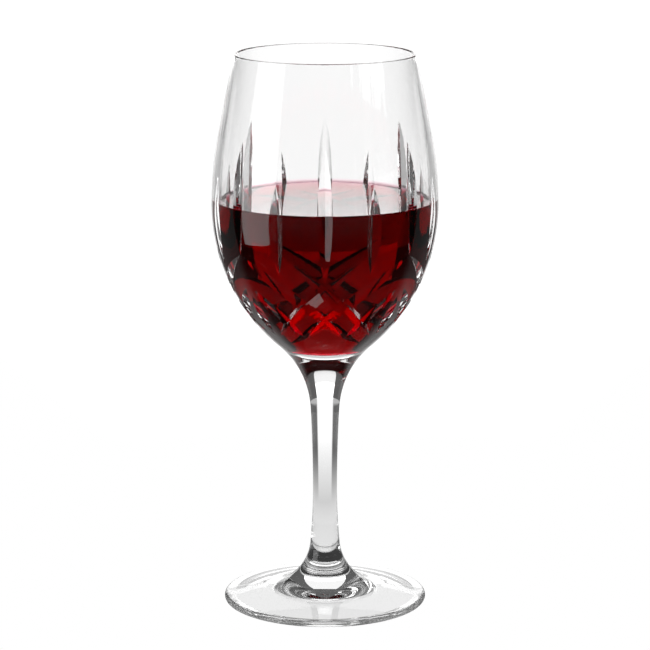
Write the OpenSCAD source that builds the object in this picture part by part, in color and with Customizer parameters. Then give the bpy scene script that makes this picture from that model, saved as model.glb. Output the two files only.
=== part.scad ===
// A stemmed wine glass of cut crystal, with red wine in it.
// Millimetres. The origin is the middle of the foot's underside, and +Z is up the stem.
// The outline is a chain of arcs, each one tangent to the next, turned once about the axis.
// The bowl is decorated with V cuts: upright blades above, and a crossed lattice below.

/* [Whole glass] */
// Height from the table to the lip
glass_h = 220; // [190:1:250]
// Height of the widest part of the bowl
belly_z = 161; // [145:1:175]
// Height of the level of the wine
wine_z = 162.7; // [130:0.5:180]

/* [Bowl] */
// Outer diameter at the widest part of the bowl
belly_d = 89.4; // [76:0.2:104]
// Outer diameter at the lip
rim_d = 71.2; // [60:0.2:84]
// Thickness of the wall at the widest part, before the cutting
belly_wall = 3.0; // [2.4:0.1:4]
// Thickness of the wall at the lip
rim_wall = 1.3; // [1:0.1:2]
// Height over which the wall bends in above the widest part, straight from there to the lip
shoulder_h = 29; // [20:1:40]
// Radius of the arc that rounds the outside of the bowl below the widest part
bowl_arc = 74; // [70:1:90]
// Radius of the arc that rounds the inside of the bowl below the widest part
hollow_arc = 66; // [62:1:80]
// Height of the lowest point inside the bowl
hollow_z = 104.5; // [100:0.5:112]

/* [Stem] */
// Diameter of the stem at its thinnest
stem_d = 9.6; // [7:0.1:13]
// Height of the thinnest place
waist_z = 45; // [38:1:60]
// Radius of the long arc of the stem above the thinnest place
stem_arc_up = 600; // [400:10:900]
// Radius of the long arc of the stem below the thinnest place
stem_arc_down = 220; // [160:10:400]
// Radius of the fillet between the stem and the bowl
bowl_fillet = 37; // [28:1:44]
// Radius of the fillet between the stem and the foot
foot_fillet = 20; // [12:1:24]

/* [Foot] */
// Diameter of the foot
foot_d = 80.6; // [66:0.2:96]
// Thickness of the foot at its rounded edge
foot_edge = 3.0; // [2.4:0.1:4]
// Height of the foot where its upper face meets the fillet
foot_rise = 5.2; // [4.6:0.1:7]
// Width of the flat ring on the underside that the glass stands on
ring_w = 3; // [2:0.5:5]
// Depth of the domed hollow under the foot
punt = 3.6; // [2:0.1:4]

/* [Cutting] */
// Depth of the upright blades
blade_depth = 1.6; // [0.8:0.05:1.8]
// Depth of the slanted lattice cuts
lattice_depth = 1.3; // [0.6:0.05:1.6]
// Full angle of the V that the cutting wheel leaves
wheel_angle = 130; // [120:1:150]
// Height of the upper tips of the long blades
long_tip_z = 189.5; // [180:0.5:196]
// Height of the upper tips of the short blades between them
short_tip_z = 174; // [168:0.5:180]
// How far the cuts at the diagonals lean towards the two sides, in degrees
side_crowding = 3.5; // [0:0.5:5]

/* [Hidden] */
glass_colour = [0.93, 0.95, 0.96, 0.35];
wine_colour = [0.35, 0.0, 0.04];
smooth = 180;           // segments of a full turn in the preview
panels = 4;             // the pattern repeats this many times round the bowl
panel_turn = 360 / panels;
bowl_steps = 12;        // straight steps that stand for each arc of the outline
shoulder_steps = 5;
stem_steps = 8;
fillet_steps = 8;
edge_steps = 5;
shallowest = 0.8;       // no cut goes deeper than this share of the bulge between its ends
run_out = 3;            // how far the cutting wheel runs on past both ends of a cut
cutter_h = 2.5;         // height of the V of the wheel above its edge
corner = panel_turn / 2;
heart_z = 136;          // where the long blade in the middle of a panel ends
knot_z = 146;           // where the long blade between two panels ends
short_foot_z = 139.5;   // where the short blades end
hem_z = 112.5;          // lower edge of the lattice
leaf_tip_z = 129;       // upper tip of the leaf between two panels
// The slanted cuts of a panel: where each starts and ends, as [turn from the panel's middle, height]
lattice_cuts = [
    [[corner - 1, knot_z - 0.5], [-3, 121.5]],
    [[18, 131.5], [-13, hem_z]],
    [[-16.5, 147], [36.5, hem_z]],
    [[41.5, 132], [16, hem_z + 1]]
];
lip_r = rim_wall / 2;
rim_r = rim_d / 2;
belly_r = belly_d / 2;
foot_r = foot_d / 2;
edge_r = foot_edge / 2;
stem_r = stem_d / 2;
shoulder_z = belly_z + shoulder_h;
lip_z = glass_h - lip_r;
inner_r = belly_r - belly_wall;

// ---- How an upright wall leans in: an arc of height a, then a straight stretch of height b,
// ---- that together come in by the distance "drop". Halving finds the angle at the arc's end.
function come_in(lean, a, b) = a * tan(lean / 2) + b * tan(lean);
function lean_for(drop, a, b, low = 0, high = 45, steps = 40) =
    steps == 0 ? (low + high) / 2
    : come_in((low + high) / 2, a, b) > drop
        ? lean_for(drop, a, b, low, (low + high) / 2, steps - 1)
        : lean_for(drop, a, b, (low + high) / 2, high, steps - 1);

straight_h = lip_z - shoulder_z;
outer_lean = lean_for(belly_r - rim_r, shoulder_h, straight_h);
inner_lean = lean_for(inner_r - (rim_r - rim_wall), shoulder_h, straight_h);
outer_shoulder_arc = shoulder_h / sin(outer_lean);
inner_shoulder_arc = shoulder_h / sin(inner_lean);
outer_shoulder_c = [belly_r - outer_shoulder_arc, belly_z];
inner_shoulder_c = [inner_r - inner_shoulder_arc, belly_z];

// ---- The point at a given reach from one point towards another
function towards(from, to, reach) = from + (to - from) * reach / norm(to - from);

// ---- Centres of the arcs of the outline, from the lip down to the foot
bowl_c = [belly_r - bowl_arc, belly_z];
waist_up_c = [stem_r + stem_arc_up, waist_z];
waist_down_c = [stem_r + stem_arc_down, waist_z];
// The fillet under the bowl touches the bowl from outside and the stem's long arc from inside.
bowl_fillet_c = let (
        span = norm(waist_up_c - bowl_c),
        far = stem_arc_up - bowl_fillet,
        near = bowl_arc + bowl_fillet,
        along = (span * span + near * near - far * far) / (2 * span),
        aside = sqrt(near * near - along * along),
        u = (waist_up_c - bowl_c) / span
    ) bowl_c + u * along + [u[1], -u[0]] * aside;
foot_fillet_z = foot_rise + foot_fillet;
foot_fillet_c = [
    waist_down_c[0] - sqrt(pow(stem_arc_down - foot_fillet, 2) - pow(waist_z - foot_fillet_z, 2)),
    foot_fillet_z
];

// ---- Places where one arc hands over to the next
bowl_end = towards(bowl_c, bowl_fillet_c, bowl_arc);
stem_top = towards(waist_up_c, bowl_fillet_c, stem_arc_up);
stem_foot = towards(waist_down_c, foot_fillet_c, stem_arc_down);
flat_start = [foot_fillet_c[0], foot_rise];

// ---- The round bottom inside the bowl touches the hollow's side arc and stands on the axis.
hollow_c = [inner_r - hollow_arc, belly_z];
hollow_h = belly_z - hollow_z;
bottom_arc = (2 * hollow_arc * inner_r - inner_r * inner_r - hollow_h * hollow_h)
    / (2 * (hollow_arc - hollow_h));
bottom_c = [0, hollow_z + bottom_arc];
bottom_end = towards(hollow_c, bottom_c, hollow_arc);

// ---- Points along an arc from one point to another, both included, in a given number of steps
function bearing(centre, p) = atan2(p[1] - centre[1], p[0] - centre[0]);
function arc(centre, from, to, steps) =
    let (
        radius = norm(from - centre),
        start = bearing(centre, from),
        step = short_way(bearing(centre, to) - start) / steps
    ) [for (i = [0:steps]) centre + radius * [cos(start + step * i), sin(start + step * i)]];
function short_way(turn) = turn > 180 ? turn - 360 : turn < -180 ? turn + 360 : turn;

// ---- The underside and the edge of the foot, from the axis out, and the foot's upper face
ring_out = foot_r - edge_r;
ring_in = ring_out - ring_w;
punt_arc = (ring_in * ring_in + punt * punt) / (2 * punt);
foot_points = concat(
    arc([0, punt - punt_arc], [0, punt], [ring_in, 0], edge_steps),
    arc([ring_out, edge_r], [ring_out, 0], [foot_r, edge_r], edge_steps),
    arc([ring_out, edge_r], [foot_r, edge_r], [ring_out, foot_edge], edge_steps)
);

// ---- The stem with its fillets, from the foot up to the bowl
stem_points = concat(
    arc(foot_fillet_c, flat_start, stem_foot, fillet_steps),
    arc(waist_down_c, stem_foot, [stem_r, waist_z], stem_steps),
    arc(waist_up_c, [stem_r, waist_z], stem_top, stem_steps),
    arc(bowl_fillet_c, stem_top, bowl_end, fillet_steps)
);

// ---- The outside of the bowl, from the stem to the lip
outer_shoulder = outer_shoulder_c + outer_shoulder_arc * [cos(outer_lean), sin(outer_lean)];
bowl_points = concat(
    arc(bowl_c, bowl_end, [belly_r, belly_z], bowl_steps),
    arc(outer_shoulder_c, [belly_r, belly_z], outer_shoulder, shoulder_steps)
);

// ---- The round lip, from the outside over the top to the inside
lip_c = [rim_r - lip_r, lip_z];
lip_points = concat(
    arc(lip_c, [rim_r, lip_z], [rim_r - lip_r, glass_h], edge_steps),
    arc(lip_c, [rim_r - lip_r, glass_h], [rim_r - rim_wall, lip_z], edge_steps)
);

// ---- The inside of the bowl, from the lip down to the axis
inner_shoulder = inner_shoulder_c + inner_shoulder_arc * [cos(inner_lean), sin(inner_lean)];
hollow_points = concat(
    [[rim_r - rim_wall, lip_z]],
    arc(inner_shoulder_c, inner_shoulder, [inner_r, belly_z], shoulder_steps),
    arc(hollow_c, [inner_r, belly_z], bottom_end, bowl_steps),
    arc(bottom_c, bottom_end, [0, hollow_z], edge_steps)
);

module glass_outline() {
    polygon(concat(foot_points, stem_points, bowl_points, lip_points, hollow_points));
}

module wine_outline() {
    intersection() {
        polygon(concat([[0, lip_z]], hollow_points));
        square([belly_r, wine_z]);
    }
}

// ---- The outer face of the bowl: its radius at a height, the direction it faces in the plane
// ---- of the axis, and a point on it. Turns are counted from the front, which is -Y.
function outer_r(z) =
    z < belly_z ? bowl_c[0] + sqrt(pow(bowl_arc, 2) - pow(z - belly_z, 2))
    : z < shoulder_z ? outer_shoulder_c[0] + sqrt(pow(outer_shoulder_arc, 2) - pow(z - belly_z, 2))
    : rim_r + (lip_z - z) * tan(outer_lean);
function facing(z) =
    z < belly_z ? ([outer_r(z), z] - bowl_c) / bowl_arc
    : z < shoulder_z ? ([outer_r(z), z] - outer_shoulder_c) / outer_shoulder_arc
    : [cos(outer_lean), sin(outer_lean)];
function crowded(turn) = turn + side_crowding * sin(2 * turn);
function round_axis(turn, r, z) = [r * sin(crowded(turn)), -r * cos(crowded(turn)), z];
function on_bowl(turn, z) = round_axis(turn, outer_r(z), z);
function outward(turn, z) = round_axis(turn, facing(z)[0], facing(z)[1]);
function unit(v) = v / norm(v);

// One V cut between two points of the bowl, each a [turn, height]. The bottom of the V is an arc
// that leaves the surface at both points and lies deepest half way, as a wheel leaves it.
module v_cut(from, to, depth) {
    start = on_bowl(from[0], from[1]);
    end = on_bowl(to[0], to[1]);
    half_way = (from + to) / 2;
    chord = norm(end - start);
    along = unit(end - start);
    normal = outward(half_way[0], half_way[1]);
    up = unit(normal - along * (normal * along));
    across = cross(up, along);
    middle = (start + end) / 2;
    bulge = (on_bowl(half_way[0], half_way[1]) - middle) * up;
    rise = bulge - min(depth, bulge * shallowest);
    radius = (pow(chord / 2, 2) + rise * rise) / (2 * rise);
    centre = middle + up * (rise - radius);
    half_turn = asin(chord / 2 / radius) + run_out / radius * 180 / PI;
    multmatrix([
        [up[0], along[0], across[0], centre[0]],
        [up[1], along[1], across[1], centre[1]],
        [up[2], along[2], across[2], centre[2]]
    ])
        rotate([0, 0, -half_turn])
            rotate_extrude(angle = 2 * half_turn, $fn = smooth * 2)
                polygon([
                    [radius, 0],
                    [radius + cutter_h, cutter_h * tan(wheel_angle / 2)],
                    [radius + cutter_h, -cutter_h * tan(wheel_angle / 2)]
                ]);
}

// A cut and its mirror image about the middle of its panel
module cut_pair(turn, from, to, depth) {
    v_cut([turn + from[0], from[1]], [turn + to[0], to[1]], depth);
    v_cut([turn - from[0], from[1]], [turn - to[0], to[1]], depth);
}

// Everything that is cut into one panel, whose middle is at the given turn
module panel_cuts(turn) {
    v_cut([turn, long_tip_z], [turn, heart_z], blade_depth);
    v_cut([turn + corner, long_tip_z], [turn + corner, knot_z], blade_depth);
    cut_pair(turn, [corner / 2, short_tip_z], [corner / 2, short_foot_z], blade_depth);
    for (cut = lattice_cuts) cut_pair(turn, cut[0], cut[1], lattice_depth);
    v_cut([turn + corner, leaf_tip_z], [turn + corner, hem_z], lattice_depth);
}

module glass() {
    color(glass_colour) difference() {
        rotate_extrude($fn = smooth) glass_outline();
        for (i = [0:panels - 1]) panel_cuts(i * panel_turn);
    }
}

module wine() {
    color(wine_colour) rotate_extrude($fn = smooth) wine_outline();
}

glass();
wine();
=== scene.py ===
# %% [markdown]
# # A glass of red wine
# A cut-crystal wine glass is one piece of clear glass: a foot, a drawn stem and a blown bowl whose
# outside is ground with V-shaped cuts. The wine is the only other piece. This lesson turns both on a
# lathe from a few named sizes, grinds the bowl with wheel-shaped cutters, and lights the whole the way a
# studio lights glass, with a glowing floor painted bright behind it, and dark sides.

# %% Load the frame
from math import atan2, cos, hypot, pi, radians, sin, sqrt, tan

import bmesh
import bpy
from mathutils import Matrix, Vector


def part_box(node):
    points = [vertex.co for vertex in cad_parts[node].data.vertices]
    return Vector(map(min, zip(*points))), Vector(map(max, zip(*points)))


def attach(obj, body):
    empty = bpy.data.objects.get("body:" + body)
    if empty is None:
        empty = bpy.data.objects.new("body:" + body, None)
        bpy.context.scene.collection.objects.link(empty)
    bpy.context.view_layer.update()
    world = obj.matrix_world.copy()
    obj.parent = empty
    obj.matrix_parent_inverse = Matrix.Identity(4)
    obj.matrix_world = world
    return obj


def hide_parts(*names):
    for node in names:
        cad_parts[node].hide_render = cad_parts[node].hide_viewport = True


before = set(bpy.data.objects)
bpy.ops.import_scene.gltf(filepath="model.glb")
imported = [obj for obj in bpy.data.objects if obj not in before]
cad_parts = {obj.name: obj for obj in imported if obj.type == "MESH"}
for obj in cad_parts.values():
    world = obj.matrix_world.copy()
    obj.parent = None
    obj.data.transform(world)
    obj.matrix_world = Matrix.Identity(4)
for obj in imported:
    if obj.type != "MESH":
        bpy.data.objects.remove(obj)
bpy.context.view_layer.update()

# %% [markdown]
# ## Sizes
# The overall sizes come from the frame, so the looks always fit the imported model. The rest are
# the sizes a glass maker would put on the drawing. Everything is in metres.

# %% Sizes
MM = 0.001
glass_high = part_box("glass")[1]
wine_low, wine_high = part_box("wine")
glass_h = glass_high[2]
belly_r = glass_high[0]
wine_z = wine_high[2]
hollow_z = wine_low[2]

belly_z = 161 * MM
belly_wall = 3.0 * MM
rim_r = 35.6 * MM
rim_wall = 1.3 * MM
shoulder_h = 29 * MM
bowl_arc = 74 * MM
hollow_arc = 66 * MM
stem_r = 4.8 * MM
waist_z = 45 * MM
stem_arc_up = 600 * MM
stem_arc_down = 220 * MM
bowl_fillet = 37 * MM
foot_fillet = 20 * MM
foot_r = 40.3 * MM
foot_edge = 3.0 * MM
foot_rise = 5.2 * MM
ring_w = 3 * MM
punt = 3.6 * MM
print("height %.1f mm, belly %.1f mm, wine up to %.1f mm" % (glass_h / MM, 2 * belly_r / MM, wine_z / MM))

# %% [markdown]
# ## The arcs of the outline
# A turned outline reads best as a chain of arcs that run smoothly into each other. For each arc
# only its centre is worked out, from the arcs it has to touch. `Vector((x, z))` is a point of the
# outline: x is the distance from the axis and z the height.

# %% Centres of the arcs
def point(x, z):
    return Vector((x, z))


def towards(start, target, reach):
    return start + (target - start).normalized() * reach


def circle_meeting(c1, r1, c2, r2):
    """The lower of the two points where two circles meet."""
    gap = c2 - c1
    span = gap.length
    along = (span * span + r1 * r1 - r2 * r2) / (2 * span)
    aside = sqrt(r1 * r1 - along * along)
    u = gap / span
    return c1 + u * along + point(u.y, -u.x) * aside


HALVINGS = 50           # more than enough to find an angle by halving


def lean_for(drop, arc_h, straight_h):
    """The angle at the end of an arc that, with a straight stretch, comes in by a given distance."""
    low, high = 0.0, pi / 4
    for _ in range(HALVINGS):
        lean = (low + high) / 2
        if arc_h * tan(lean / 2) + straight_h * tan(lean) > drop:
            high = lean
        else:
            low = lean
    return lean


lip_r = rim_wall / 2
lip_z = glass_h - lip_r
inner_r = belly_r - belly_wall
edge_r = foot_edge / 2
shoulder_z = belly_z + shoulder_h

outer_lean = lean_for(belly_r - rim_r, shoulder_h, lip_z - shoulder_z)
inner_lean = lean_for(inner_r - (rim_r - rim_wall), shoulder_h, lip_z - shoulder_z)
outer_shoulder_arc = shoulder_h / sin(outer_lean)
inner_shoulder_arc = shoulder_h / sin(inner_lean)

bowl_c = point(belly_r - bowl_arc, belly_z)
outer_shoulder_c = point(belly_r - outer_shoulder_arc, belly_z)
inner_shoulder_c = point(inner_r - inner_shoulder_arc, belly_z)
waist_up_c = point(stem_r + stem_arc_up, waist_z)
waist_down_c = point(stem_r + stem_arc_down, waist_z)
bowl_fillet_c = circle_meeting(bowl_c, bowl_arc + bowl_fillet, waist_up_c, stem_arc_up - bowl_fillet)
fillet_z = foot_rise + foot_fillet
foot_fillet_c = point(
    waist_down_c.x - sqrt((stem_arc_down - foot_fillet) ** 2 - (waist_z - fillet_z) ** 2), fillet_z
)
bowl_end = towards(bowl_c, bowl_fillet_c, bowl_arc)
stem_top = towards(waist_up_c, bowl_fillet_c, stem_arc_up)
stem_foot = towards(waist_down_c, foot_fillet_c, stem_arc_down)

hollow_c = point(inner_r - hollow_arc, belly_z)
hollow_h = belly_z - hollow_z
bottom_arc = (2 * hollow_arc * inner_r - inner_r**2 - hollow_h**2) / (2 * (hollow_arc - hollow_h))
bottom_c = point(0, hollow_z + bottom_arc)
print("round bottom inside the bowl: radius %.1f mm" % (bottom_arc / MM))

# %% [markdown]
# ## Drawing with a moving vertex
# An outline could be typed as a list of coordinates, but then a changed size means a new list.
# Here one vertex is drawn along like a pen: a straight line is an extruded vertex, and an arc is
# that vertex spun about the arc's centre. Both leave their edges behind.

# %% The pen
FINE = radians(1.1)     # an arc gets one step for each of these angles
LONG_ARC = 0.4 * FINE   # long flat arcs need small angles, and small round ones can do with few
FLAT_ARC = 0.6 * FINE
BOTTOM_ARC = 2 * FINE
FILLET_ARC = 3 * FINE
EDGE_ARC = 6 * FINE
LIP_ARC = 12 * FINE
SAME_PLACE = 0.002 * MM  # vertices nearer than this are one


def line_to(bm, vert, x, z):
    new = bmesh.ops.extrude_vert_indiv(bm, verts=[vert])["verts"][0]
    new.co = (x, 0, z)
    return new


def arc_to(bm, vert, centre, end, fine=FINE):
    """Spins the vertex about the centre until it reaches the bearing of the end point."""
    start = atan2(vert.co.z - centre.y, vert.co.x - centre.x)
    turn = atan2(end.y - centre.y, end.x - centre.x) - start
    turn = (turn + pi) % (2 * pi) - pi
    made = bmesh.ops.spin(
        bm,
        geom=[vert],
        cent=(centre.x, 0, centre.y),
        axis=(0, -1, 0),
        angle=turn,
        steps=max(2, round(abs(turn) / fine)),
    )
    return next(g for g in made["geom_last"] if isinstance(g, bmesh.types.BMVert))


def turn_on_lathe(bm, steps):
    """Spins the drawn outline once round the axis and closes the solid."""
    bmesh.ops.remove_doubles(bm, verts=bm.verts[:], dist=SAME_PLACE)
    bmesh.ops.spin(
        bm, geom=bm.verts[:] + bm.edges[:], cent=(0, 0, 0), axis=(0, 0, 1),
        dvec=(0, 0, 0), angle=2 * pi, steps=steps, use_merge=True,
    )
    bmesh.ops.remove_doubles(bm, verts=bm.verts[:], dist=SAME_PLACE)
    bmesh.ops.recalc_face_normals(bm, faces=bm.faces[:])


def finish_mesh(bm, name):
    mesh = bpy.data.meshes.new(name)
    bm.to_mesh(mesh)
    bm.free()
    piece = bpy.data.objects.new(name, mesh)
    bpy.context.scene.collection.objects.link(piece)
    print(name, "has", len(mesh.vertices), "vertices and", len(mesh.polygons), "faces")
    return piece


# %% [markdown]
# ## The plain glass
# The pen starts on the axis under the foot, goes out to the edge, up the stem, round the bowl and
# over the lip, and comes down inside to the axis again. Foot, stem and bowl are one piece of glass,
# so they are one outline and one closed mesh.

# %% Turn the glass
LATHE_STEPS = 288       # steps of a full turn, fine enough for a clean refraction
CLIMB_H = 1.0 * MM      # how far the wine climbs the wall at its edge
CLIMB_W = 1.8 * MM
DIP_H = 0.45 * MM       # how far its middle then lies under the mean level
level_z = wine_z - DIP_H
wet_z = level_z + CLIMB_H


def inner_shoulder_radius(z):
    return inner_shoulder_c.x + sqrt(inner_shoulder_arc**2 - (z - belly_z) ** 2)


def draw_hollow(bm, vert, grow=0.0):
    """From the shoulder inside the bowl down to the axis. Grow moves the line out into the wall."""
    c, r = hollow_c, hollow_arc + grow
    vert = arc_to(bm, vert, c, towards(c, bottom_c, r))
    return arc_to(bm, vert, bottom_c, point(0, hollow_z - grow), fine=BOTTOM_ARC)


bm = bmesh.new()
ring_out = foot_r - edge_r
pen = bm.verts.new((0, 0, punt))
ring_in = ring_out - ring_w
punt_arc = (ring_in**2 + punt**2) / (2 * punt)
pen = arc_to(bm, pen, point(0, punt - punt_arc), point(ring_in, 0), fine=FLAT_ARC)
pen = line_to(bm, pen, ring_out, 0)
edge_c = point(ring_out, edge_r)
pen = arc_to(bm, pen, edge_c, point(foot_r, edge_r), fine=EDGE_ARC)
pen = arc_to(bm, pen, edge_c, point(ring_out, foot_edge), fine=EDGE_ARC)
pen = line_to(bm, pen, foot_fillet_c.x, foot_rise)
pen = arc_to(bm, pen, foot_fillet_c, stem_foot, fine=FILLET_ARC)
pen = arc_to(bm, pen, waist_down_c, point(stem_r, waist_z), fine=FLAT_ARC)
pen = arc_to(bm, pen, waist_up_c, stem_top, fine=LONG_ARC)
pen = arc_to(bm, pen, bowl_fillet_c, bowl_end, fine=BOTTOM_ARC)
pen = arc_to(bm, pen, bowl_c, point(belly_r, belly_z))
pen = arc_to(bm, pen, outer_shoulder_c, outer_shoulder_c + point(cos(outer_lean), sin(outer_lean)))
pen = line_to(bm, pen, rim_r, lip_z)
lip_c = point(rim_r - lip_r, lip_z)
pen = arc_to(bm, pen, lip_c, point(lip_c.x, glass_h), fine=LIP_ARC)
pen = arc_to(bm, pen, lip_c, point(lip_c.x - lip_r, lip_z), fine=LIP_ARC)
inner_shoulder = inner_shoulder_c + point(cos(inner_lean), sin(inner_lean)) * inner_shoulder_arc
pen = line_to(bm, pen, inner_shoulder.x, inner_shoulder.y)
wall_r = inner_shoulder_radius(wet_z)
pen = arc_to(bm, pen, inner_shoulder_c, point(wall_r, wet_z))
pen = arc_to(bm, pen, inner_shoulder_c, point(inner_r, belly_z))
draw_hollow(bm, pen)
turn_on_lathe(bm, LATHE_STEPS)
goblet = finish_mesh(bm, "crystal_glass")

# %% [markdown]
# ## The cutter's wheels
# A glass cutter presses the bowl against a stone wheel with a V-shaped edge. The cut starts at a point,
# gets deeper and wider, and ends in a point again. A cut could be carved by moving vertices, but a
# Boolean with a long three-sided bar gives the crisp facets and mitred crossings of the real thing. Each
# bar starts as a three-sided ring that is pulled out ring by ring along its length, and every ring of
# three vertices is then laid on the bowl by one matrix.

# %% Where the bowl's outer face is
side_crowding = 3.5     # degrees by which the diagonal cuts lean towards the two sides


def outer_radius(z):
    if z < belly_z:
        return bowl_c.x + sqrt(bowl_arc**2 - (z - belly_z) ** 2)
    if z < shoulder_z:
        return outer_shoulder_c.x + sqrt(outer_shoulder_arc**2 - (z - belly_z) ** 2)
    return rim_r + (lip_z - z) * tan(outer_lean)


def outer_facing(z):
    """The direction the outer face looks in, as (out, up)."""
    if z < belly_z:
        return (point(outer_radius(z), z) - bowl_c).normalized()
    if z < shoulder_z:
        return (point(outer_radius(z), z) - outer_shoulder_c).normalized()
    return point(cos(outer_lean), sin(outer_lean))


def round_axis(turn, x, z):
    """A point at a turn from the front, in degrees, counted about the axis from -Y."""
    a = radians(turn + side_crowding * sin(radians(2 * turn)))
    return Vector((x * sin(a), -x * cos(a), z))


def on_bowl(turn, z):
    return round_axis(turn, outer_radius(z), z)


# %% [markdown]
# ## One V cut
# A bar is a three-sided ring, pulled out ring by ring along the cut. Its edge that points into the
# glass follows the bottom of the cut, which is deepest halfway. The angle of the V decides which way
# a facet bends and mirrors light, and so what it shows: with 118 degrees the middle blade has a pale
# strip over the wine, and with 130 degrees it has none. With the angle kept, a deeper cut is just a
# wider one.

# %% One V cut
BLADE_WHEEL = radians(118)
DIAGONAL_WHEEL = radians(104)
CUT_STATIONS = 28
CLEAR_H = 0.9 * MM      # how far a bar's back stands off the bowl
RUN_OUT = 0.06          # share of its length that a bar reaches past each end of its cut
LOOK_AHEAD = 0.01       # share of its length that gives the way a cut runs
RING_H = 1.5            # height and half the width of a three-sided ring of radius 1
RING_HALF_W = cos(radians(30))


def cut_bar(bm, start, end, depth, wheel, tilt, bow):
    """A bar whose lower edge is the bottom of a V cut from start to end, each (turn, height).
    Bow is how far the middle of the cut lies above the straight line between them."""
    ring = bmesh.ops.create_circle(bm, cap_ends=True, segments=3, radius=1)["verts"]
    last = Matrix.Identity(4)
    edges = list({e for v in ring for e in v.link_edges})
    for k in range(CUT_STATIONS + 1):
        share = k / CUT_STATIONS * (1 + 2 * RUN_OUT) - RUN_OUT
        place = bar_place(start, end, depth, wheel, tilt, bow, share)
        bmesh.ops.transform(bm, verts=ring, matrix=place @ last.inverted())
        last = place
        if k < CUT_STATIONS:
            made = bmesh.ops.extrude_edge_only(bm, edges=edges)["geom"]
            ring = [g for g in made if isinstance(g, bmesh.types.BMVert)]
            edges = [g for g in made if isinstance(g, bmesh.types.BMEdge)]
    bmesh.ops.contextual_create(bm, geom=edges)


def bar_place(start, end, depth, wheel, tilt, bow, share):
    """Lays a unit ring, which points along its own +Y, across the cut at a share of its length."""
    def along(t):
        return (
            start[0] + (end[0] - start[0]) * t,
            start[1] + (end[1] - start[1]) * t + bow * 4 * t * (1 - t),
        )

    turn, z = along(share)
    here = on_bowl(turn, z)
    ahead = on_bowl(*along(share + LOOK_AHEAD))
    face = outer_facing(z)
    out = round_axis(turn, face.x, face.y)
    inward = -(out.normalized())
    downhill = -1 if end[0] > start[0] else 1
    across = (ahead - here).cross(inward).normalized() * downhill
    inward, across = (
        inward * cos(tilt) - across * sin(tilt),
        across * cos(tilt) + inward * sin(tilt),
    )
    deep = depth * (1 - (2 * share - 1) ** 2)
    bottom = here - out.normalized() * deep
    high = deep + CLEAR_H
    wide = high * tan(wheel / 2)
    place = Matrix.Identity(4)
    place.col[0] = (*(across * wide / RING_HALF_W), 0)
    place.col[1] = (*(inward * high / RING_H), 0)
    place.col[2] = (*across.cross(inward), 0)
    place.col[3] = (*(bottom - inward * high / RING_H), 1)
    return place


# %% [markdown]
# ## The pattern
# The pattern repeats four times round the bowl and is the same on both hands: upright blades that
# end in points above the wine, shorter blades between them, and below them diagonals that cross
# into stars and diamonds. Bars that would overlap are ground in separate passes, as the cutter
# does, because a Boolean wants its tool to be one clean solid.

# %% Grind the bowl
BLADE_DEPTH = 1.85 * MM
DIAGONAL_DEPTH = 2.1 * MM
LEAF_DEPTH = 1.5 * MM
DIAGONAL_TILT = radians(6.5)
QUARTERS = (0, 90, 180, 270)

upright_cuts = [
    ((0, 189.5), (0, 136), BLADE_DEPTH),
    ((45, 189.5), (45, 146), BLADE_DEPTH),
    ((22.5, 174), (22.5, 139.5), BLADE_DEPTH),
    ((-22.5, 174), (-22.5, 139.5), BLADE_DEPTH),
    ((45, 129), (45, 112.5), LEAF_DEPTH),
]
diagonal_cuts = [
    ((-44, 145.5), (13.2, 112.5), 1.4 * MM),
    ((-17, 147), (36.5, 112.5), -2.3 * MM),
    ((-41.5, 132), (-16, 113.5), 0.0),
]


def grind(piece, cutters):
    """Takes the cutters' bars out of the piece and keeps the result as its mesh."""
    tool_mesh = bpy.data.meshes.new("wheel")
    cutters.to_mesh(tool_mesh)
    tool = bpy.data.objects.new("wheel", tool_mesh)
    bpy.context.scene.collection.objects.link(tool)
    cut = piece.modifiers.new("cut", "BOOLEAN")
    cut.operation = "DIFFERENCE"
    cut.solver = "MANIFOLD"
    cut.object = tool
    ground = bpy.data.meshes.new_from_object(piece.evaluated_get(bpy.context.evaluated_depsgraph_get()))
    piece.modifiers.clear()
    piece.data = ground
    bpy.data.objects.remove(tool)
    cutters.free()


def cutter_set(cuts, mirror=1):
    bm = bmesh.new()
    for quarter in QUARTERS:
        for (turn_a, z_a), (turn_b, z_b), depth, wheel, tilt, bow in cuts:
            start = (quarter + mirror * turn_a, z_a * MM)
            end = (quarter + mirror * turn_b, z_b * MM)
            cut_bar(bm, start, end, depth, wheel, tilt, bow)
    bmesh.ops.recalc_face_normals(bm, faces=bm.faces[:])
    return bm


grind(goblet, cutter_set([(*cut, BLADE_WHEEL, 0.0, 0.0) for cut in upright_cuts]))
for start, end, bow in diagonal_cuts:
    for mirror in (1, -1):
        cut = (start, end, DIAGONAL_DEPTH, DIAGONAL_WHEEL, DIAGONAL_TILT, bow)
        grind(goblet, cutter_set([cut], mirror))
print("ground glass:", len(goblet.data.vertices), "vertices,", len(goblet.data.polygons), "faces")

# %% [markdown]
# ## Crisp edges on soft glass
# The blown surface must shade smoothly while the ground facets meet in crisp lines. Edges that
# turn by more than a few degrees are marked sharp, and everything else is shaded smooth.

# %% Shade the glass
CRISP = radians(9)

goblet.data.shade_smooth()
goblet.data.set_sharp_from_angle(angle=CRISP)
print("sharp edges set above %.0f degrees" % (CRISP * 180 / pi))

# %% [markdown]
# ## The wine
# The wine fills the hollow and climbs the wall a little at its edge. Glass and wine share their
# border, and a gap there would shine like a silver skin, so the wine reaches a hair into the wall.
# Light then passes from crystal to wine without meeting air.

# %% Pour the wine
INTO_WALL = 0.15 * MM
HAIR = 0.01 * MM
WINE_CRISP = radians(30)

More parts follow.
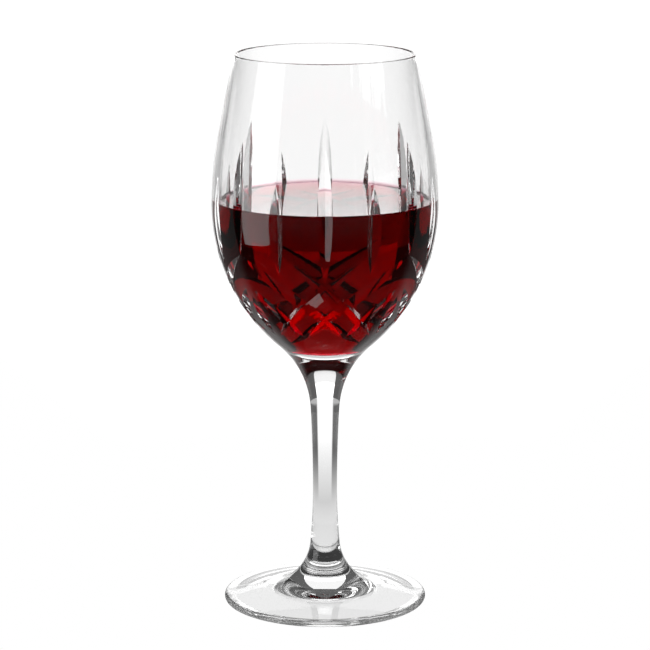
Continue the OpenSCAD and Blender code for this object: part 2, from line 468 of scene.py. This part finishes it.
bm = bmesh.new()
pen = bm.verts.new((0, 0, level_z))
pen = line_to(bm, pen, wall_r - CLIMB_W, level_z)
climb_arc = (CLIMB_W**2 + CLIMB_H**2) / (2 * CLIMB_H)
climb_c = point(wall_r - CLIMB_W, level_z + climb_arc)
pen = arc_to(bm, pen, climb_c, point(wall_r, wet_z), fine=EDGE_ARC)
pen = line_to(bm, pen, wall_r + INTO_WALL, wet_z)
pen = arc_to(bm, pen, inner_shoulder_c, point(inner_r + INTO_WALL, belly_z))
draw_hollow(bm, pen, grow=INTO_WALL)
turn_on_lathe(bm, LATHE_STEPS)
at_wall = bm.verts.layers.float.new("at_wall")
for vert in bm.verts:
    top = vert.co.z > level_z - HAIR and hypot(vert.co.x, vert.co.y) < wall_r + HAIR
    vert[at_wall] = 0.0 if top else 1.0
wine = finish_mesh(bm, "red_wine")
wine.data.shade_smooth()
wine.data.set_sharp_from_angle(angle=WINE_CRISP)

# %% [markdown]
# ## Shared effect: slow waves in a surface
# No blown glass is perfectly even, and that is what makes its reflections look alive. The group
# gives a height made of two sizes of noise. A material feeds it to a Bump node of its own.

# %% Node helpers
def socket(group, name, in_out, kind, value=None):
    made = group.interface.new_socket(name=name, in_out=in_out, socket_type=kind)
    if value is not None:
        made.default_value = value
    return made


def node(tree, kind, **settings):
    made = tree.nodes.new(kind)
    for key, value in settings.items():
        setattr(made, key, value)
    return made


def soft_waves_group():
    """Height of slow waves and a finer ripple, from Object coordinates."""
    group = bpy.data.node_groups.new("soft_waves", "ShaderNodeTree")
    socket(group, "Wave Scale", "INPUT", "NodeSocketFloat", 30.0)
    socket(group, "Ripple Scale", "INPUT", "NodeSocketFloat", 220.0)
    socket(group, "Ripple Share", "INPUT", "NodeSocketFloat", 0.2)
    socket(group, "Height", "OUTPUT", "NodeSocketFloat")
    inputs = node(group, "NodeGroupInput")
    outputs = node(group, "NodeGroupOutput")
    place = node(group, "ShaderNodeTexCoord")
    wave = node(group, "ShaderNodeTexNoise")
    ripple = node(group, "ShaderNodeTexNoise")
    blend = node(group, "ShaderNodeMix")
    wave.inputs["Detail"].default_value = 1.0
    ripple.inputs["Detail"].default_value = 3.0
    link = group.links.new
    link(place.outputs["Object"], wave.inputs["Vector"])
    link(place.outputs["Object"], ripple.inputs["Vector"])
    link(inputs.outputs["Wave Scale"], wave.inputs["Scale"])
    link(inputs.outputs["Ripple Scale"], ripple.inputs["Scale"])
    link(inputs.outputs["Ripple Share"], blend.inputs[0])
    link(wave.outputs[0], blend.inputs[2])
    link(ripple.outputs[0], blend.inputs[3])
    link(blend.outputs[0], outputs.inputs["Height"])
    return group


SOFT_WAVES = soft_waves_group()
print("node group:", SOFT_WAVES.name)


# %% [markdown]
# ## Crystal
# Crystal bends light at least as much as window glass. It is polished after the cutting,
# so it is clear and smooth all over; only slow waves from blowing and polishing are left in it.

# %% Crystal material
WHITE = (1.0, 1.0, 1.0, 1.0)
CRYSTAL_IOR = 1.52
BELOW_HOLLOW = 0.1 * MM  # how far under the hollow the search for wetted faces starts


def make_clear(shader, ior):
    """Turns a plain shader into clear, smooth glass or liquid."""
    shader.inputs["Base Color"].default_value = WHITE
    shader.inputs["Roughness"].default_value = 0.0
    shader.inputs["IOR"].default_value = ior
    shader.inputs["Transmission Weight"].default_value = 1.0


def add_waves(tree, shader, wave_scale, ripple_scale, ripple_share, height):
    """Gives a shader slow waves of a given height."""
    waves = node(tree, "ShaderNodeGroup", node_tree=SOFT_WAVES)
    waves.inputs["Wave Scale"].default_value = wave_scale
    waves.inputs["Ripple Scale"].default_value = ripple_scale
    waves.inputs["Ripple Share"].default_value = ripple_share
    bump = node(tree, "ShaderNodeBump")
    bump.inputs["Strength"].default_value = 1.0
    bump.inputs["Distance"].default_value = height
    tree.links.new(waves.outputs["Height"], bump.inputs["Height"])
    tree.links.new(bump.outputs["Normal"], shader.inputs["Normal"])


def crystal_material():
    material = bpy.data.materials.new("crystal")
    material.use_nodes = True
    tree = material.node_tree
    shader = tree.nodes["Principled BSDF"]
    make_clear(shader, CRYSTAL_IOR)
    add_waves(tree, shader, wave_scale=45.0, ripple_scale=300.0, ripple_share=0.1, height=0.06 * MM)
    return material


def wetted_material():
    """The inside of the glass under the wine: the wine's own face does the bending there."""
    material = bpy.data.materials.new("wetted_crystal")
    material.use_nodes = True
    make_clear(material.node_tree.nodes["Principled BSDF"], 1.0)
    return material


goblet.data.materials.clear()
goblet.data.materials.append(crystal_material())
goblet.data.materials.append(wetted_material())
wet = 0
for face in goblet.data.polygons:
    looks_in = face.normal.x * face.center.x + face.normal.y * face.center.y < 0
    if looks_in and hollow_z - BELOW_HOLLOW < face.center.z < wet_z:
        face.material_index = 1
        wet += 1
print("faces under the wine:", wet)
print("crystal: IOR", CRYSTAL_IOR)


# %% [markdown]
# ## Red wine
# The colour of wine is in its depth: a thin layer at the edge is pink and the middle is nearly
# black. A tinted surface can't do that, so the surface is clear and a Volume Absorption takes the
# green and the blue out over a few millimetres, and the red over some centimetres.

# %% Wine material
WINE_IOR = 1.34
WINE_COLOUR = (0.92, 0.4, 0.55)
WINE_DENSITY = 500.0


def wine_material():
    material = bpy.data.materials.new("red_wine")
    material.use_nodes = True
    tree = material.node_tree
    shader = tree.nodes["Principled BSDF"]
    make_clear(shader, WINE_IOR)
    against_crystal = node(tree, "ShaderNodeBsdfPrincipled")
    make_clear(against_crystal, WINE_IOR / CRYSTAL_IOR)
    place = node(tree, "ShaderNodeAttribute", attribute_name="at_wall")
    faces = node(tree, "ShaderNodeMixShader")
    output = tree.nodes["Material Output"]
    tree.links.new(place.outputs["Fac"], faces.inputs[0])
    tree.links.new(shader.outputs[0], faces.inputs[1])
    tree.links.new(against_crystal.outputs[0], faces.inputs[2])
    tree.links.new(faces.outputs[0], output.inputs["Surface"])
    depth = node(tree, "ShaderNodeVolumeAbsorption")
    depth.inputs["Color"].default_value = (*WINE_COLOUR, 1.0)
    depth.inputs["Density"].default_value = WINE_DENSITY
    tree.links.new(depth.outputs["Volume"], output.inputs["Volume"])
    add_waves(tree, shader, wave_scale=25.0, ripple_scale=120.0, ripple_share=0.15, height=0.03 * MM)
    return material


wine.data.materials.clear()
wine.data.materials.append(wine_material())
taken = [round((1 - share) * WINE_DENSITY) for share in WINE_COLOUR]
print("wine takes out per metre, red, green and blue:", taken)

# %% [markdown]
# ## Fit the pieces to the model
# Both pieces stand still with the one body of the model, and each replaces its CAD node.

# %% Fit to the model
for piece, cad_node, finish_slot in ((goblet, "glass", "crystal"), (wine, "wine", "wine")):
    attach(piece, "root")
    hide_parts(cad_node)
print("two pieces fitted")

# %% [markdown]
# ## The sweep
# Glass has no colour of its own: it shows what is behind it. The floor glows. Seen directly, it is a
# plain pale sheet that glows evenly. Seen through the glass it carries painted light: it is brighter
# behind the glass and far in front of it and dim at the sides, with a painted pool of light round the
# foot and painted shade on the floor just behind the foot, which gives bright middles and dark outlines.
# Where it is only mirrored, the part in front is painted nearly dark, or a grey veil would lie on the
# wine, and the floor under the foot is painted dark as its shadow. A real sheet can't do this. It is a
# trick of the stage, made with a Light Path node, and it doesn't go with the glass to other scenes.

# %% Glowing floor with painted light and shade
FLOOR_SIZE = 12.0
FLOOR_DROP = 0.2 * MM
# Painted light: behind the glass, the floor's glow is a bright wedge with dim sides.
WEDGE_TIP = 0.02        # the bright wedge behind the glass starts this far in front of the axis


def ramp(tree, value, low, high, at_low, at_high):
    """A smooth step from one brightness to another."""
    step = node(tree, "ShaderNodeMapRange", interpolation_type="SMOOTHSTEP")
    step.inputs["From Min"].default_value = low
    step.inputs["From Max"].default_value = high
    step.inputs["To Min"].default_value = at_low
    step.inputs["To Max"].default_value = at_high
    tree.links.new(value, step.inputs["Value"])
    return step.outputs["Result"]


def product(tree, one, other):
    times = node(tree, "ShaderNodeMath", operation="MULTIPLY")
    tree.links.new(one, times.inputs[0])
    tree.links.new(other, times.inputs[1])
    return times.outputs[0]


def larger(tree, one, other):
    most = node(tree, "ShaderNodeMath", operation="MAXIMUM")
    tree.links.new(one, most.inputs[0])
    tree.links.new(other, most.inputs[1])
    return most.outputs[0]


def floor_material():
    """Each ramp gives the place where the painted light changes and its strength on either side."""
    material = bpy.data.materials.new("glowing_floor_painted_light")
    material.use_nodes = True
    tree = material.node_tree
    tree.nodes.clear()
    link = tree.links.new
    place = node(tree, "ShaderNodeTexCoord")
    apart = node(tree, "ShaderNodeSeparateXYZ")
    link(place.outputs["Object"], apart.inputs[0])
    ahead = node(tree, "ShaderNodeMath", operation="ADD")
    ahead.inputs[1].default_value = WEDGE_TIP
    link(apart.outputs["Y"], ahead.inputs[0])
    bearing = node(tree, "ShaderNodeMath", operation="ARCTAN2")
    link(apart.outputs["X"], bearing.inputs[0])
    link(ahead.outputs[0], bearing.inputs[1])
    aside = node(tree, "ShaderNodeMath", operation="ABSOLUTE")
    link(bearing.outputs[0], aside.inputs[0])
    # Painted light: the floor behind the glass is painted bright in a wedge and dim at the sides.
    wedge = ramp(tree, aside.outputs[0], radians(20), radians(26), 1.0, 0.1)
    flat = node(tree, "ShaderNodeCombineXYZ")
    link(apart.outputs["X"], flat.inputs["X"])
    link(apart.outputs["Y"], flat.inputs["Y"])
    away = node(tree, "ShaderNodeVectorMath", operation="LENGTH")
    link(flat.outputs[0], away.inputs[0])
    # Painted shadow: behind the glass the floor is painted darker close to the foot and brightest further
    # away.
    far = ramp(tree, away.outputs["Value"], 0.06, 0.35, 0.55, 1.1)
    # Painted pool of light: a lit patch round the foot, on every side, that fades outwards.
    near = ramp(tree, away.outputs["Value"], 0.05, 0.30, 0.82, 0.13)
    # Painted light: the floor far behind and far in front of the glass is painted brighter.
    rear = ramp(tree, apart.outputs["Y"], 0.3, 0.9, 0.0, 0.5)
    fore = ramp(tree, apart.outputs["Y"], -0.65, -0.25, 0.9, 0.0)
    behind_glass = larger(tree, product(tree, wedge, far), near)
    lit = larger(tree, behind_glass, larger(tree, rear, fore))
    path = node(tree, "ShaderNodeLightPath")
    # Painted shade: for light that is mirrored last, the floor in front of the glass is painted nearly
    # dark, so it sees only the floor behind the glass.
    mirrored = ramp(tree, apart.outputs["Y"], 0.02, 0.10, 0.03, 1.0)
    fresh = node(tree, "ShaderNodeMath", operation="LESS_THAN")
    fresh.inputs[1].default_value = 0.5
    link(path.outputs["Glossy Depth"], fresh.inputs[0])
    # Painted shadow: light that was mirrored at all doesn't see the floor under the foot, which is
    # painted nearly dark.
    beyond_foot = ramp(tree, away.outputs["Value"], 0.037, 0.05, 0.05, 1.0)
    through = larger(tree, path.outputs["Is Transmission Ray"], mirrored)
    seen = product(tree, product(tree, lit, through), larger(tree, fresh.outputs[0], beyond_foot))
    shown = node(tree, "ShaderNodeMath", operation="MAXIMUM")
    link(path.outputs["Is Camera Ray"], shown.inputs[0])
    link(seen, shown.inputs[1])
    glow = node(tree, "ShaderNodeEmission")
    link(shown.outputs[0], glow.inputs["Strength"])
    output = node(tree, "ShaderNodeOutputMaterial")
    link(glow.outputs[0], output.inputs["Surface"])
    return material


bm = bmesh.new()
bmesh.ops.create_grid(bm, x_segments=1, y_segments=1, size=FLOOR_SIZE / 2)
bmesh.ops.translate(bm, verts=bm.verts[:], vec=(0, 0, -FLOOR_DROP))
floor = finish_mesh(bm, "floor")
floor.data.materials.append(floor_material())

# %% [markdown]
# ## Soft boxes
# Two wide soft boxes stand far behind the glass, one above the other, and light the bowl from the
# back. A tall narrow one at the left gives the window-like gleam on the belly. Light is thrown to
# and fro inside cut glass many times, so the number of bounces is raised: with the usual few, the
# rim of the foot and the sides of the blades would turn black.

# %% Lights
ROOM_MIRRORED = 0.03    # the dim room, as it is mirrored in the glass
ROOM_THROUGH = 0.09     # what is added to it when it is seen through the glass
BOUNCES = 32            # how often light may be mirrored, and how often bent, on its way
ALL_BOUNCES = 40


def soft_box(name, place, aim, width, height, brightness):
    """An area light of a given size whose own surface has the given brightness."""
    light = bpy.data.lights.new(name, "AREA")
    light.shape = "RECTANGLE"
    light.size = width
    light.size_y = height
    light.energy = brightness * width * height * pi
    box = bpy.data.objects.new(name, light)
    bpy.context.scene.collection.objects.link(box)
    box.location = place
    box.rotation_euler = (Vector(aim) - Vector(place)).to_track_quat("-Z", "Y").to_euler()
    box.visible_camera = False
    return box


soft_box("low_back_box", (0, 3.0, 0.42), (0, 0, 0.42), 2.3, 0.84, 1.85)
soft_box("high_back_box", (0, 3.0, 1.84), (0, 0, 1.84), 2.3, 2.0, 0.9)
soft_box("left_box", (-0.293, -0.118, 0.26), (0, 0, 0.26), 0.22, 0.46, 1.9)

world = bpy.data.worlds.new("studio")
bpy.context.scene.world = world
world.use_nodes = True
world.node_tree.nodes["Background"].inputs["Color"].default_value = WHITE
room_path = node(world.node_tree, "ShaderNodeLightPath")
room_glow = node(world.node_tree, "ShaderNodeMath", operation="MULTIPLY_ADD")
room_glow.inputs[1].default_value = ROOM_THROUGH
room_glow.inputs[2].default_value = ROOM_MIRRORED
world.node_tree.links.new(room_path.outputs["Is Transmission Ray"], room_glow.inputs[0])
world.node_tree.links.new(room_glow.outputs[0], world.node_tree.nodes["Background"].inputs["Strength"])

cycles = bpy.context.scene.cycles
cycles.max_bounces = ALL_BOUNCES
cycles.glossy_bounces = BOUNCES
cycles.transmission_bounces = BOUNCES
lamps = [lamp.name for lamp in bpy.context.scene.objects if lamp.type == "LIGHT"]
print("soft boxes:", lamps)

# %% [markdown]
# ## Camera
# The camera looks slightly down at the glass from about a metre, with a long lens so that the foot and
# the rim keep their true proportions.

# %% Camera
CAMERA_BACK = 1.1328
CAMERA_UP = 0.3553
LOOK_DOWN = radians(12.11)
LENS = 162.3
SENSOR_W = 36.0

camera_data = bpy.data.cameras.new("camera")
camera_data.lens = LENS
camera_data.sensor_width = SENSOR_W
camera = bpy.data.objects.new("camera", camera_data)
bpy.context.scene.collection.objects.link(camera)
camera.location = (0.0, -CAMERA_BACK, CAMERA_UP)
camera.rotation_euler = (pi / 2 - LOOK_DOWN, 0, 0)
bpy.context.scene.camera = camera
bpy.context.scene.view_settings.view_transform = "Standard"
print("camera %.2f m from the axis" % CAMERA_BACK)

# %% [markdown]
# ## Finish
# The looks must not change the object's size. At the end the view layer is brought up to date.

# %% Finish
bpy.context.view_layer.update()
